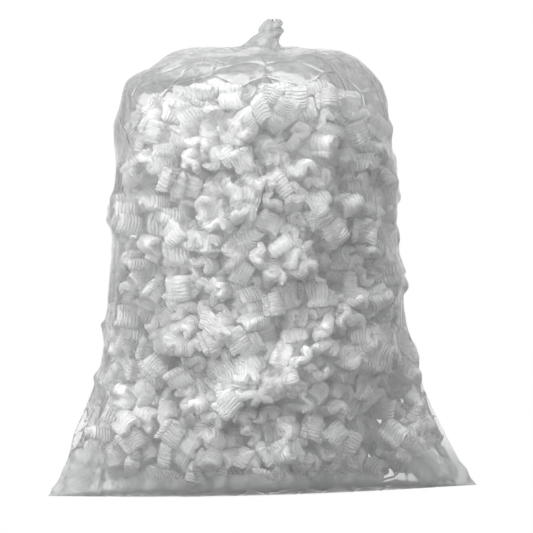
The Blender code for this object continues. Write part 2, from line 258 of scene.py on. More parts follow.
# The studio
WHITE = (1.0, 1.0, 1.0, 1.0)
FLOOR_SIZE = 12.0
FLOOR_DROP = 0.2 * MM
PAPER_GLOW = 1.02
PAPER_WHITE = 0.97  # of the seen paper is plain white; the rest shows the bag's shadow
SOFT_SIDE = (-0.52, -0.50, 0.69)  # towards the brightest soft light
SOFT_RANGE = (0.42, 1.60)
LAMPS = (  # name, place, aim, size and watts
    ("key", (-1.2, -1.6, 1.9), (0, 0, 0.46), (3.0, 2.6), 38),
    ("front", (-0.8, -3.0, 1.8), (0, 0, 0.55), (3.6, 2.6), 44),
)
CAMERA_DISTANCE = 5.0
CAMERA_SENSOR = 36.0
VIEW_WIDTH = 650 * MM
VIEW_MIDDLE = (12 * MM, 0.0, 273 * MM)
VIEW_ELEVATION = math.radians(0.4)
VIEW_ROLL = math.radians(-1.5)


def linear(hex_colour):
    """An sRGB hex colour as linear RGBA."""
    parts = [int(hex_colour[k : k + 2], 16) / 255 for k in (1, 3, 5)]
    turned = [p / 12.92 if p <= 0.04045 else ((p + 0.055) / 1.055) ** 2.4 for p in parts]
    return (*turned, 1.0)


def add_node(tree, kind, values=None, links=None, **settings):
    """Adds a node with its settings, sets sockets' values and links them to nodes' outputs."""
    node = tree.nodes.new("ShaderNode" + kind)
    for name, value in settings.items():
        setattr(node, name, value)
    for name, value in (values or {}).items():
        node.inputs[name].default_value = value
    for name, (source, output) in (links or {}).items():
        tree.links.new(source.outputs[output], node.inputs[name])
    return node


def new_material(name):
    made = bpy.data.materials.new(name)
    made.use_nodes = True
    made.node_tree.nodes.clear()
    return made, made.node_tree


# Materials


def foam_material(name, ribbed):
    """Expanded polystyrene loose fill, extruded, foamed and cut: white and matt.

    The skin has soft ribs across it that break the light into fine lines. A cut end is torn into
    open cells and looks rougher.
    """
    made, tree = new_material(name)
    place = add_node(tree, "TexCoord")
    cells = add_node(
        tree, "TexNoise", {"Scale": 1 / CELL_CLUSTER, "Detail": 3.0, "Roughness": 0.6},
        {"Vector": (place, "Object")},
    )
    shade = add_node(tree, "Attribute", attribute_name="shade")
    tint = add_node(
        tree, "Mix", {"A": linear("#F4F5F5"), "B": linear("#FCFCFB")},
        {"Factor": (shade, "Fac")}, data_type="RGBA",
    )
    if ribbed:
        scale = 1 / RIB_PITCH / WAVE_BANDS
        ribs = add_node(
            tree, "TexWave",
            {"Scale": scale, "Distortion": 3.2, "Detail": 1.5, "Detail Scale": 1.1},
            {"Vector": (place, "UV")}, wave_type="BANDS", bands_direction="Y",
        )
        uneven = add_node(
            tree, "Math", links={0: (ribs, "Fac"), 1: (cells, "Fac")}, operation="MULTIPLY",
        )
        relief, depth = (uneven, "Value"), RIB_DEPTH
    else:
        torn = add_node(
            tree, "TexNoise", {"Scale": 1 / TORN_CELL, "Detail": 2.0}, {"Vector": (place, "Object")},
        )
        relief, depth = (torn, "Fac"), TORN_DEPTH
    low = add_node(tree, "Bump", {"Strength": 1.0, "Distance": depth}, {"Height": relief})
    bump = add_node(
        tree, "Bump", {"Strength": 0.9, "Distance": CLUSTER_DEPTH},
        {"Height": (cells, "Fac"), "Normal": (low, "Normal")},
    )
    shader = add_node(
        tree, "BsdfPrincipled", {"Roughness": 0.62, "IOR": 1.45},
        {"Base Color": (tint, "Result"), "Normal": (bump, "Normal")},
    )
    add_node(tree, "OutputMaterial", links={"Surface": (shader, "BSDF")})
    return made


def film_bump(tree, place):
    """Soft ripples with fine crinkles over them, wider apart than the film's real ones."""
    ripple = add_node(
        tree, "TexNoise", {"Scale": 1 / RIPPLE, "Detail": 4.0, "Roughness": 0.55},
        {"Vector": (place, "Object")},
    )
    soft = add_node(
        tree, "Bump", {"Strength": 0.35, "Distance": RIPPLE_DEPTH}, {"Height": (ripple, "Fac")},
    )
    crinkle = add_node(
        tree, "TexVoronoi", {"Scale": 1 / CRINKLE}, {"Vector": (place, "Object")},
        feature="DISTANCE_TO_EDGE",
    )
    crease = add_node(
        tree, "MapRange", {"From Max": CRINKLE_WIDTH, "To Min": 1.0, "To Max": 0.0},
        {"Value": (crinkle, "Distance")},
    )
    return add_node(
        tree, "Bump", {"Strength": 0.8, "Distance": CRINKLE_DEPTH},
        {"Height": (crease, "Result"), "Normal": (soft, "Normal")},
    )


def film_material():
    """Blown low-density polythene film, 40 micron thick: clear, with a milky haze, and glossy.

    The peanuts show through it a little greyer than they are, with white glints on its folds. It
    is milkier and greyer where it is slack, sealed or lies in several layers, and its greyer band
    along the bottom is also painted shade, where the film turns under towards the floor.
    """
    made, tree = new_material("blown_polythene_film")
    place = add_node(tree, "TexCoord")
    bump = film_bump(tree, place)
    facing = add_node(tree, "LayerWeight", {"Blend": 0.35})
    grazing = add_node(
        tree, "MapRange", {"To Min": HAZE_FACING, "To Max": HAZE_GRAZING},
        {"Value": (facing, "Facing")},
    )
    # The film's slack share, which along the bottom also carries painted shade
    slack = add_node(tree, "Attribute", attribute_name="slack")
    haze = add_node(
        tree, "Math", {1: HAZE_SLACK},
        {0: (slack, "Fac"), 2: (grazing, "Result")}, operation="MULTIPLY_ADD",
    )
    clear = add_node(tree, "BsdfTransparent", {"Color": linear("#FEFEFE")})
    # Greyer veil where the film is slack or doubled, and painted shade in the band along the bottom
    haze_and_shade_tone = add_node(
        tree, "Mix", {"A": linear("#F4F5F6"), "B": linear("#BEBFC0")},
        {"Factor": (slack, "Fac")}, data_type="RGBA",
    )
    milk = add_node(tree, "BsdfDiffuse", links={"Color": (haze_and_shade_tone, "Result")})
    through = add_node(tree, "BsdfTranslucent", links={"Color": (haze_and_shade_tone, "Result")})
    veil = add_node(tree, "MixShader", {"Fac": HAZE_THROUGH}, {1: (milk, "BSDF"), 2: (through, "BSDF")})
    body = add_node(
        tree, "MixShader", links={"Fac": (haze, "Value"), 1: (clear, "BSDF"), 2: (veil, "Shader")},
    )
    gloss = add_node(
        tree, "BsdfAnisotropic", {"Color": WHITE, "Roughness": 0.11}, {"Normal": (bump, "Normal")},
    )
    edge = add_node(tree, "Fresnel", {"IOR": 1.51}, {"Normal": (bump, "Normal")})
    skin = add_node(
        tree, "MixShader", links={"Fac": (edge, "Fac"), 1: (body, "Shader"), 2: (gloss, "BSDF")},
    )
    add_node(tree, "OutputMaterial", links={"Surface": (skin, "Shader")})
    return made


def seen_straight(tree):
    """1 where the camera sees it, straight, mirrored or through something, and 0 for its light."""
    seen = add_node(tree, "LightPath")
    mirrored = add_node(
        tree, "Math", links={0: (seen, "Is Glossy Ray"), 1: (seen, "Is Transmission Ray")},
        operation="MAXIMUM",
    )
    straight = add_node(
        tree, "Math", links={0: (seen, "Is Camera Ray"), 1: (mirrored, "Value")}, operation="MAXIMUM",
    )
    return (straight, "Value")


def floor_material():
    """Matt paper sweep, seen as plain white, that throws little light up at the bag."""
    made, tree = new_material("white_paper_sweep")
    paper = add_node(tree, "BsdfPrincipled", {"Base Color": linear("#6E6E6E"), "Roughness": 0.9})
    white = add_node(tree, "Emission", {"Color": WHITE, "Strength": PAPER_GLOW})
    share = add_node(tree, "Math", {1: PAPER_WHITE}, {0: seen_straight(tree)}, operation="MULTIPLY")
    both = add_node(
        tree, "MixShader", links={"Fac": (share, "Value"), 1: (paper, "BSDF"), 2: (white, "Emission")},
    )
    add_node(tree, "OutputMaterial", links={"Surface": (both, "Shader")})
    return made


# The form of the filled bag


def ear_share(z):
    return np.exp(-np.maximum(z, 0.0) / EAR_RISE)


def turn(share):
    """Along a quarter circle, level at 0 and steep at 1."""
    return 1.0 - np.sqrt(np.maximum(0.0, 1.0 - np.clip(share, 0.0, 1.0) ** 2))


def level(z, top):
    """Half width, half depth and cusp power of the bag's form at heights under a top."""
    body = (FLOOR_WIDTH + (TOP_WIDTH - FLOOR_WIDTH) * z / BAG_HEIGHT) / 2
    shoulder = turn((z - top + SHOULDER_DROP) / SHOULDER_DROP)
    floor = turn(1.0 - z / BOTTOM_ROUND)
    width = body + (FLAT_WIDTH - FLOOR_WIDTH) / 2 * ear_share(z) - SHOULDER_REACH * shoulder
    depth = BODY_DEPTH / 2 - BOTTOM_ROUND * floor - SHOULDER_DEPTH * shoulder
    return width, depth, 1.0 + EAR_CUSP * ear_share(z)


def sag(x, y, z):
    """How far the body lies in between the fill's lumps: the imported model's two crossing waves."""
    first = np.sin(math.tau * (x + 0.4 * z + 0.6 * y) / LUMP_PITCH)
    second = np.sin(math.tau * (0.9 * z - 0.5 * x + 0.7 * y) / LUMP_PITCH + 1.0)
    round_share = np.minimum(1.0, np.abs(y) / BOTTOM_ROUND + (z / WALL_END) ** 2)
    ends = np.clip(np.minimum(z, WALL_END - z) / BOTTOM_ROUND, 0.0, 1.0)
    return LUMP_HEIGHT * (0.5 - 0.25 * (first + second)) * round_share * ends


def wall_value(points):
    """Below 0 inside the fill's outer form, 0 on it."""
    x, y, z = points.T
    width, depth, power = level(np.clip(z, 0.0, FILL_TOP), FILL_TOP)
    tuck = FILL_TUCK * np.maximum(0.0, 1 - z / FILL_ROUND) ** 1.5
    across = (np.abs(y) + SEAM_OFF) / (depth - tuck)
    return across ** (2 / power) + (x / width) ** 2 - 1.0


def wall_distance(points):
    """Distance inside the fill's outer form, and the way in."""
    here = wall_value(points)
    step = 1.0 * MM
    slope = np.stack(
        [(wall_value(points + step * axis) - wall_value(points - step * axis)) / (2 * step)
         for axis in np.eye(3)],
        axis=1,
    )
    steep = np.maximum(np.linalg.norm(slope, axis=1), 1e-9)
    return -here / steep - sag(*points.T), -slope / steep[:, None]


# One peanut


def vertex_places(mesh):
    places = np.empty(len(mesh.vertices) * 3)
    mesh.vertices.foreach_get("co", places)
    return places.reshape(-1, 3)


def uv_places(mesh):
    places = np.empty(len(mesh.loops) * 2)
    mesh.uv_layers.active.data.foreach_get("uv", places)
    return places.reshape(-1, 2)


def flat_grid(name, along, across):
    """A flat grid of faces, and the column and row of each of its points."""
    bpy.ops.object.select_all(action="DESELECT")
    bpy.ops.mesh.primitive_grid_add(x_subdivisions=along, y_subdivisions=across, size=2.0)
    made = bpy.context.active_object
    made.name = name
    shares = (vertex_places(made.data)[:, :2] + 1) / 2
    return made, *np.round(shares * (along, across)).astype(int).T


def wave_points(count):
    """Points along the middle of the S, on a smooth curve through its turns."""
    reach = (PEANUT_LENGTH - PEANUT_RIBBON) / 2
    rise = (PEANUT_WIDTH - PEANUT_RIBBON) / 2
    turns = np.array(PEANUT_WAVE) * (reach, rise)
    padded = np.vstack([2 * turns[0] - turns[1], turns, 2 * turns[-1] - turns[-2]])
    found = []
    for k in np.linspace(0, len(turns) - 1, count):
        part = min(int(k), len(turns) - 2)
        t = k - part
        a, b, c, d = padded[part : part + 4]
        found.append(
            0.5 * (2 * b + (c - a) * t + (2 * a - 5 * b + 4 * c - d) * t**2
                   + (3 * b - a - 3 * c + d) * t**3)
        )
    return np.array(found)


def model_peanut(name, along, cuts, skin, torn, ribs=0.0):
    """A flat strip is bent into the S, crowned between its cuts and given its thickness.

    The foam is thinner at its cut rims and at both ends of the ribbon, which rounds them.
    """
    strip, columns, rows = flat_grid(name, along, len(cuts) - 1)
    middle = wave_points(along + 1)
    slopes = np.gradient(middle, axis=0)
    slopes /= np.linalg.norm(slopes, axis=1, keepdims=True)
    run = np.concatenate([[0.0], np.cumsum(np.linalg.norm(np.diff(middle, axis=0), axis=1))])
    puffed = strip.vertex_groups.new(name="puffed")
    for vertex, column, row in zip(strip.data.vertices, columns, rows):
        cut = cuts[row]
        rim = max(0.0, (abs(cut) - RIM) / (1 - RIM))
        end = max(0.0, 1 - min(run[column], run[-1] - run[column]) / END_REACH)
        thickness = (1 - RIM_THINNING * rim**2) * (1 - END_THINNING * end**2)
        puffed.add([vertex.index], thickness, "REPLACE")
        x, y = middle[column] * (1.0 - CUT_CROWN * cut**2)
        ripple = ribs * math.cos(cut * math.pi * RIB_COUNT)
        x -= slopes[column][1] * ripple
        y += slopes[column][0] * ripple
        vertex.co = (x, y, cut * PEANUT_CUT / 2)
    strip.data.materials.append(skin)
    strip.data.materials.append(torn)
    uv = strip.data.uv_layers.active.data
    for loop in strip.data.loops:
        vertex = strip.data.vertices[loop.vertex_index].co
        column = int(np.argmin(np.linalg.norm(middle - np.array(vertex.xy), axis=1)))
        uv[loop.index].uv = (run[column], vertex.z)
    thick = strip.modifiers.new("foam", "SOLIDIFY")
    thick.thickness = PEANUT_RIBBON
    thick.offset = 0.0
    thick.use_even_offset = True
    thick.vertex_group = puffed.name
    bpy.ops.object.modifier_apply(modifier=thick.name)
    for face in strip.data.polygons:
        face.material_index = 1 if abs(face.normal.z) > 0.8 else 0
    bpy.ops.object.shade_smooth_by_angle(angle=SHARP)
    return strip


def ball_places():
    """Places of the balls that stand for a peanut: along its S, in three rows."""
    flat = wave_points(5)
    half = PEANUT_CUT / 2 - BALL
    return np.array([(x, y, z) for x, y in flat for z in (-half, 0.0, half)])


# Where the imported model's own peanuts lie


def outline_corners():
    """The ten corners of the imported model's S, as its source lays them out."""
    half = PEANUT_RIBBON / 2
    reach = (PEANUT_LENGTH - PEANUT_RIBBON) / 2
    rise = (PEANUT_WIDTH - PEANUT_RIBBON) / 2
    line = [Vector((x * reach, y * rise)) for x, y in PEANUT_WAVE]
    corners = []
    for k, here in enumerate(line):
        before = (here - line[k - 1]).normalized() if k else None
        after = (line[k + 1] - here).normalized() if k + 1 < len(line) else None
        along = ((before or after) + (after or before)).normalized()
        across = Vector((-along.y, along.x)) * half / along.dot(before or after)
        corners += [here + across, here - across]
    return np.array(corners)


def cut_axis(corners):
    """The way from cut to cut: most pairs of corners a cut's length apart lie along it."""
    gaps = corners[:, None] - corners[None]
    lengths = np.linalg.norm(gaps, axis=2)
    near, far = np.nonzero(np.abs(lengths - PEANUT_CUT) < 0.05 * MM)
    ways = gaps[near, far] / PEANUT_CUT
    votes = (ways @ ways.T > 0.9999).sum(axis=1)
    return ways[int(np.argmax(votes))]


def place_of(node):
    """The rotation and middle of a packed peanut, found from its solid's own corners."""
    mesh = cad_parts[node].data
    corners = np.unique(np.round([tuple(v.co) for v in mesh.vertices], 6), axis=0)
    axis = cut_axis(corners)
    middle = corners.mean(axis=0)
    side = np.cross(axis, (0, 0, 1) if abs(axis[2]) < 0.9 else (1, 0, 0))
    side /= np.linalg.norm(side)
    flat = outline_corners()
    half = PEANUT_CUT / 2
    flat = np.vstack([np.c_[flat, np.full(len(flat), z)] for z in (-half, half)])
    best = (math.inf, None)
    half_degrees = np.linspace(0, math.tau, 720, endpoint=False)
    for sign in (1, -1):
        up = sign * axis
        for angle in half_degrees:
            first = math.cos(angle) * side + math.sin(angle) * np.cross(up, side)
            turned = np.stack([first, np.cross(up, first), up], axis=1)
            fitted = (flat - flat.mean(axis=0)) @ turned.T + middle
            miss = np.linalg.norm(fitted[:, None] - corners[None], axis=2).min(axis=1).sum()
            if miss < best[0]:
                best = (miss, turned)
    turned = best[1]
    return turned, middle - turned @ flat.mean(axis=0)


# Packing


def near_pairs(centres, reach):
    """Pairs of balls whose cells touch."""
    cells = np.floor((centres - centres.min(axis=0)) / reach).astype(np.int64) + 1
    size = cells.max(axis=0) + 2
    keys = (cells[:, 0] * size[1] + cells[:, 1]) * size[2] + cells[:, 2]
    order = np.argsort(keys, kind="stable")
    ranked = keys[order]
    offsets = [(a, b, c) for a in (-1, 0, 1) for b in (-1, 0, 1) for c in (-1, 0, 1)]
    found = []
    for a, b, c in offsets:
        shift = (a * size[1] + b) * size[2] + c
        if shift < 0:
            continue
        low = np.searchsorted(ranked, ranked + shift, "left")
        high = np.searchsorted(ranked, ranked + shift, "right")
        counts = high - low
        first = np.repeat(np.arange(len(ranked)), counts)
        within = np.arange(counts.sum()) - np.repeat(np.cumsum(counts) - counts, counts)
        second = np.repeat(low, counts) + within
        if shift == 0:
            keep = first < second
            first, second = first[keep], second[keep]
        found.append(np.stack([order[first], order[second]], axis=1))
    return np.vstack(found)


def start_packing(fixed):
    """Turns and middles at random inside the bag, after the fixed ones."""
    chance = np.random.default_rng(SEED)
    width = FLAT_WIDTH / 2
    starts = []
    while len(starts) < FILL_COUNT:
        tried = chance.uniform((-width, -BODY_DEPTH / 2, 0.0), (width, BODY_DEPTH / 2, FILL_TOP))
        distance, _ = wall_distance(tried[None])
        if distance[0] > START_CLEAR and START_CLEAR < tried[2] < FILL_TOP - START_CLEAR:
            starts.append(tried)
    middles = np.vstack([[m for _, m in fixed], starts])
    turns = np.linalg.qr(chance.normal(size=(len(middles), 3, 3)))[0]
    turns[np.linalg.det(turns) < 0] *= -1

    # Some start with a cut end towards the film
    _, inward = wall_distance(middles)
    facing = chance.random(len(middles)) < FACING_SHARE
    first = turns[..., 0] - (turns[..., 0] * inward).sum(axis=1, keepdims=True) * inward
    first /= np.linalg.norm(first, axis=1, keepdims=True)
    faced = np.stack([first, np.cross(inward, first), inward], axis=2)
    turns[facing] = faced[facing]
    turns[: len(fixed)] = [t for t, _ in fixed]
    return turns, middles


def pushed_apart(centres, sizes, pairs):
    """How overlapping balls push each other, and how many pushes each gets."""
    first, second = pairs.T
    apart = centres[first] - centres[second]
    length = np.maximum(np.linalg.norm(apart, axis=1), 1e-9)
    over = sizes[first] + sizes[second] - length
    hit = over > 0
    push = apart[hit] / length[hit, None] * over[hit, None] * 0.5
    moved = np.zeros_like(centres)
    count = np.zeros(len(centres))
    for index, way in ((first[hit], push), (second[hit], -push)):
        for axis in range(3):
            moved[:, axis] += np.bincount(index, way[:, axis], len(centres))
        count += np.bincount(index, minlength=len(centres))
    return moved, count


def add_bag_pushes(moved, count, centres, sizes, distance, inward):
    """Adds what the film, the floor and the roof push back."""
    short = np.clip(sizes + FILM_GAP - distance, 0.0, PUSH_LIMIT)
    moved += inward * short[:, None]
    count += short > 0
    floor = np.maximum(sizes + FLOOR_GAP - centres[:, 2], 0.0)
    roof = np.maximum(centres[:, 2] + sizes - FILL_TOP, 0.0)
    moved[:, 2] += floor - roof
    count += (floor > 0) | (roof > 0)


def lean_out(goals, spare, inward):
    """Draws each peanut near the film out to it, by its ball that is nearest."""
    nearest = spare.argmin(axis=1)
    every = np.arange(len(goals))
    gap = spare[every, nearest]
    pull = np.where((gap > 0) & (gap < LEAN_REACH), gap, 0.0) * LEAN_PULL
    goals -= (inward[every, nearest] * pull[:, None])[:, None]


def stiff_fit(goals, shape):
    """The turns and middles that bring stiff peanuts nearest to their balls' goals."""
    middle = goals.mean(axis=1)
    local = shape - shape.mean(axis=1, keepdims=True)
    matched = np.einsum("nki,nkj->nij", goals - middle[:, None], local)
    u, _, v = np.linalg.svd(matched)
    flip = np.ones((len(goals), 3))
    flip[:, 2] = np.sign(np.linalg.det(u @ v))
    turns = (u * flip[:, None]) @ v
    return turns, middle - np.einsum("nij,nj->ni", turns, shape.mean(axis=1))


def pack_peanuts(fixed):
    """Pushes peanuts apart until they fill the bag. Returns their turns and middles.

    Each peanut is a stiff group of balls. The fixed ones, which come first, don't move.
    """
    turns, middles = start_packing(fixed)
    places = ball_places()
    held, total = len(fixed), len(middles)
    owner = np.repeat(np.arange(total), len(places))
    still = owner < held
    for step in range(PACK_STEPS):
        size = BALL * min(1.0, START_SIZE + (1 - START_SIZE) * step / GROW_STEPS)
        shape = places * size / BALL
        shape = np.where(np.arange(total)[:, None, None] < held, places, shape)
        centres = (middles[:, None] + np.einsum("nij,nkj->nki", turns, shape)).reshape(-1, 3)
        if step % PAIR_STEPS == 0:
            pairs = near_pairs(centres, 2 * BALL + PAIR_SPARE)
            pairs = pairs[owner[pairs[:, 0]] != owner[pairs[:, 1]]]
        sizes = np.where(still, BALL, size)
        moved, count = pushed_apart(centres, sizes, pairs)
        distance, inward = wall_distance(centres)
        add_bag_pushes(moved, count, centres, sizes, distance, inward)
        touching = (count > 0).reshape(total, -1).sum(axis=1)
        gain = PUSH_GAIN * len(places) / np.maximum(touching, LEAST_TOUCHING)
        moved *= gain[owner][:, None] / np.maximum(count, 1.0)[:, None] ** 0.7
        goals = (centres + moved).reshape(total, -1, 3)
        spare = (distance - sizes - FILM_GAP).reshape(total, -1)
        lean_out(goals, spare, inward.reshape(total, -1, 3))
        fresh, shift = stiff_fit(goals, shape)
        turns[held:], middles[held:] = fresh[held:], shift[held:]
    return turns[held:], middles[held:]


def own_forms(points, count, chance, dent):
    """Copies of a peanut's points, each squeezed, twisted and dented in its own way."""
    copies = points[None] * chance.uniform(*SQUEEZE, (count, 1, 3))
    twist = chance.uniform(-TWIST, TWIST, (count, 1)) * points[None, :, 2] / (PEANUT_CUT / 2)
    x, y = copies[..., 0].copy(), copies[..., 1].copy()
    copies[..., 0] = x * np.cos(twist) - y * np.sin(twist)
    copies[..., 1] = x * np.sin(twist) + y * np.cos(twist)
    for length in DENT_LENGTHS:
        way = chance.normal(size=(count, 3))
        way /= np.linalg.norm(way, axis=1, keepdims=True)
        push = chance.normal(size=(count, 1, 3))
        wave = np.einsum("nki,ni->nk", copies, way) * math.tau / length
        wave += chance.uniform(0, math.tau, (count, 1))
        copies += push * (dent * length / DENT_LENGTHS[0]) * np.sin(wave)[..., None]
    ragged = (np.abs(points[:, 2]) > 0.93 * PEANUT_CUT / 2)[None, :, None]
    copies += chance.normal(size=copies.shape) * np.where(ragged, TORN, SKIN)
    return copies


def merged_peanuts(name, pattern, turns, middles, seed, dent):
    """One piece from many copies of the pattern, each with its own form and shade of white."""
    source = pattern.data
    points = vertex_places(source)
    faces = np.array([tuple(p.vertices) for p in source.polygons])
    finish = np.array([p.material_index for p in source.polygons])
    smooth = np.array([p.use_smooth for p in source.polygons])
    sharp_ends = {tuple(sorted(e.vertices)) for e in source.edges if e.use_edge_sharp}
    count = len(middles)
    chance = np.random.default_rng(seed)
    copies = own_forms(points, count, chance, dent)
    placed = (np.einsum("nij,nkj->nki", turns, copies) + middles[:, None]).reshape(-1, 3)
    placed[:, 2] = np.maximum(placed[:, 2], FLOOR_FILM)
    shifts = np.arange(count)[:, None, None] * len(points)
    mesh = bpy.data.meshes.new(name)
    mesh.from_pydata(placed.tolist(), [], (faces[None] + shifts).reshape(-1, 4).tolist())
    mesh.polygons.foreach_set("material_index", np.tile(finish, count))
    mesh.polygons.foreach_set("use_smooth", np.tile(smooth, count))
    layer = mesh.uv_layers.new(name="UVMap")
    layer.data.foreach_set("uv", np.tile(uv_places(source).ravel(), count))
    shade = mesh.attributes.new("shade", "FLOAT", "POINT")
    shade.data.foreach_set("value", np.repeat(chance.random(count), len(points)))
    ends = np.empty(len(mesh.edges) * 2, int)
    mesh.edges.foreach_get("vertices", ends)
    ends = np.sort(ends.reshape(-1, 2) % len(points), axis=1)
    mesh.edges.foreach_set("use_edge_sharp", [tuple(e) in sharp_ends for e in ends])
    for material in source.materials:
        mesh.materials.append(material)
    piece = bpy.data.objects.new(name, mesh)
    bpy.context.scene.collection.objects.link(piece)
    return piece


# The film


def smooth_step(value, low, high):
    share = np.clip((value - low) / (high - low), 0.0, 1.0)
    return share * share * (3 - 2 * share)


def banded(z, rise, fall):
    """1 between a rise and a fall, each a pair of heights, and 0 outside them."""
    return smooth_step(z, *rise) * (1 - smooth_step(z, *fall))


def hump(value, middle, size):
    """A soft hump, 1 at its middle."""
    return np.exp(-(((value - middle) / size) ** 2))


def film_rows():
    """Rows of the film from the seal up: z, half width, half depth, power, middle, reach."""
    seal_rows, round_rows, wall_rows, shoulder_rows, neck_rows = 60, 40, 150, 80, 50
    rows = []
    width, depth, power = level(np.array(0.0), BAG_HEIGHT)
    for reach in np.linspace(0.0, 1.0, seal_rows)[:-1]:
        rows.append((0.0, width, depth, power, 0.0, reach))
    quarter = math.pi / 2
    wall = WALL_END - BOTTOM_ROUND
    heights = [BOTTOM_ROUND * (1 - math.cos(quarter * k / round_rows)) for k in range(round_rows)]
    heights += [BOTTOM_ROUND + wall * k / wall_rows for k in range(wall_rows)]
    for k in range(shoulder_rows + 1):
        heights.append(WALL_END + SHOULDER_DROP * math.sin(quarter * k / shoulder_rows))
    for z in heights:
        width, depth, power = level(np.array(z), BAG_HEIGHT)
        rows.append((z, width, depth, power, 0.0, 1.0))
    last = rows[-1]
    neck = NECK_WIDTH / 2
    for share in np.linspace(0, 1, neck_rows)[1:]:
        rows.append((
            last[0] + CROWN_RISE * share**2, last[1] + (neck - last[1]) * share,
            last[2] + (neck - last[2]) * share, 1.0, NECK_OFFSET * share, 1.0,
        ))
    foot = BAG_HEIGHT + CROWN_RISE
    for share in np.linspace(0, 1, neck_rows)[1:]:
        half = np.interp(share, *zip(*KNOT_FORM)) * KNOT_WIDTH / 2
        bend = (KNOT_BEND - KNOT_UNBEND * share) * min(1.0, 4 * share)
        middle = NECK_OFFSET + KNOT_LEAN * share + bend
        rows.append((foot + (KNOT_HEIGHT - CROWN_RISE) * share, half, half, 1.0, middle, 1.0))
    return np.array(rows, float)


def film_grid():
    """The film's places, row by row, its rows, and the length from the seal to the open end."""
    rows = film_rows()
    path = np.stack([rows[:, 2] * rows[:, 5], rows[:, 0]], axis=1)
    climb = np.concatenate([[0.0], np.cumsum(np.linalg.norm(np.diff(path, axis=0), axis=1))])
    count = round(climb[-1] / FILM_CELL)
    wanted = np.linspace(0.0, climb[-1], count + 1)
    rows = np.stack([np.interp(wanted, climb, column) for column in rows.T], axis=1)
    spans = 4 * round(FLAT_WIDTH / FILM_CELL / 2)
    angles = np.linspace(0, math.tau, spans + 1)
    z, width, depth, power, middle, reach = rows.T[..., None]
    bulge = np.abs(np.sin(angles)) ** power * np.sign(-np.sin(angles))
    bulge[:, (0, spans // 2, spans)] = 0.0
    x = middle - width * np.cos(angles)
    y = depth * bulge * reach
    return np.stack([x, y, z + 0 * x], axis=2), rows, climb[-1]


def outward(grid):
    around = np.roll(grid[:, :-1], -1, axis=1) - np.roll(grid[:, :-1], 1, axis=1)
    around = np.concatenate([around, around[:, :1]], axis=1)
    up = np.gradient(grid, axis=0)
    out = np.cross(around, up)
    return out / np.maximum(np.linalg.norm(out, axis=2, keepdims=True), 1e-12)


def rolled_over(field, sign):
    """Rolls a ball of the film's bend over a field of heights: over it, or under it."""
    best = field.copy()
    for a in range(-BEND_CELLS, BEND_CELLS + 1):
        for b in range(-BEND_CELLS, BEND_CELLS + 1):
            drop = (a * a + b * b) * FILM_CELL**2 / FILM_BEND / 2
            moved = np.roll(np.roll(field, a, axis=0), b, axis=1)
            best = np.maximum(best, moved - drop) if sign > 0 else np.minimum(best, moved + drop)
    return best


def wrapped(grid, rows_here, out, fill):
    """How far out, or in if below 0, the film is at each place as it lies over the peanuts."""
    tree = BVHTree.FromPolygons(*fill)
    rows, columns = grid.shape[:2]
    height = np.full((rows, columns), -FILM_DIP)
    for r in range(rows):
        for c in range(columns - 1):
            start = Vector(grid[r, c] + out[r, c] * FILM_PROUD)
            hit = tree.ray_cast(start, Vector(-out[r, c]), FILM_PROUD + FILM_DIP)
            if hit[0] is not None:
                height[r, c] = FILM_PROUD - hit[3]
    height[:, -1] = height[:, 0]

    # Near the side seams the film's front and back stay apart
    half = np.abs(grid[..., 1]) / np.maximum(np.abs(out[..., 1]), 0.05)
    beside = 1 - FILM_DIP / rows_here[:, 1]
    thick = rows_here[:, 2] * (1 - beside**2) ** (rows_here[:, 3] / 2)
    height = np.maximum(height, -DIP_SHARE * np.maximum(half, thick[:, None] - THIN_ROOM))
    closed = rolled_over(rolled_over(height, 1), -1)
    for _ in range(2):
        closed = (
            2 * closed + np.roll(closed, 1, 1) + np.roll(closed, -1, 1)
            + np.roll(closed, 1, 0) + np.roll(closed, -1, 0)
        ) / 6
    return closed + FILM_OFF


def low_forms(grid, out):
    """The fuller left side, folds that fan out from the ears, and soft ones above the seal."""
    x, y, z = np.moveaxis(grid, 2, 0)
    reach = FLAT_WIDTH / 2
    near = np.abs(x) / reach
    height, size, tall = LEFT_BULGE
    forms = tall * hump(z, height, size) * near**2 * (x < 0)
    forms += LEFT_SIDE * np.clip(-out[..., 0], 0.0, 1.0) * banded(z, *SIDE_BAND)

    fan = np.arctan2(z, reach - np.abs(x) + EAR_FOLD)
    pleats = 0.0
    for number, side_shift, ear_shift, share in EAR_PLEATS:
        turned = number * fan + side_shift * np.sign(y) + ear_shift * np.sign(x)
        pleats = pleats + share * np.abs(np.sin(turned))
    pleat_middle = 0.9
    fading = np.minimum(np.abs(y) / SIDE_FADE, 1.0) * np.minimum(z / FLOOR_FADE, 1.0) * near**2
    away = np.hypot(reach - np.abs(x), z)
    forms += EAR_PLEAT_HEIGHT * (pleats - pleat_middle) * fading * np.exp(-away / EAR_PLEAT_REACH)

    drift = 2 * np.sin(x * math.tau / SEAL_FOLD_DRIFT)
    upright = np.sin(x * math.tau / SEAL_FOLD_PITCH + drift)
    return forms + SEAL_FOLD_HEIGHT * upright * banded(z, *SEAL_FOLD_BAND)


def facets(places, size, seed):
    """Heights of crumpled film, from -1 to 1 or so: facets that meet in creases."""
    chance = np.random.default_rng(seed)
    low, high = places.min(axis=0), places.max(axis=0)
    count = int(np.prod((high - low) / size)) + 4
    heights = []
    for sign in (1, -1):
        seeds = chance.uniform(low, high, (count, places.shape[1]))
        slopes = chance.normal(size=seeds.shape)
        found = np.full(len(places), -np.inf)
        for middle, slope in zip(seeds, slopes):
            away = (places - middle) / size
            found = np.maximum(found, away @ slope * 0.5 - (away**2).sum(axis=1) * FACET_BOW)
        heights.append(sign * found)
    return sum(heights)


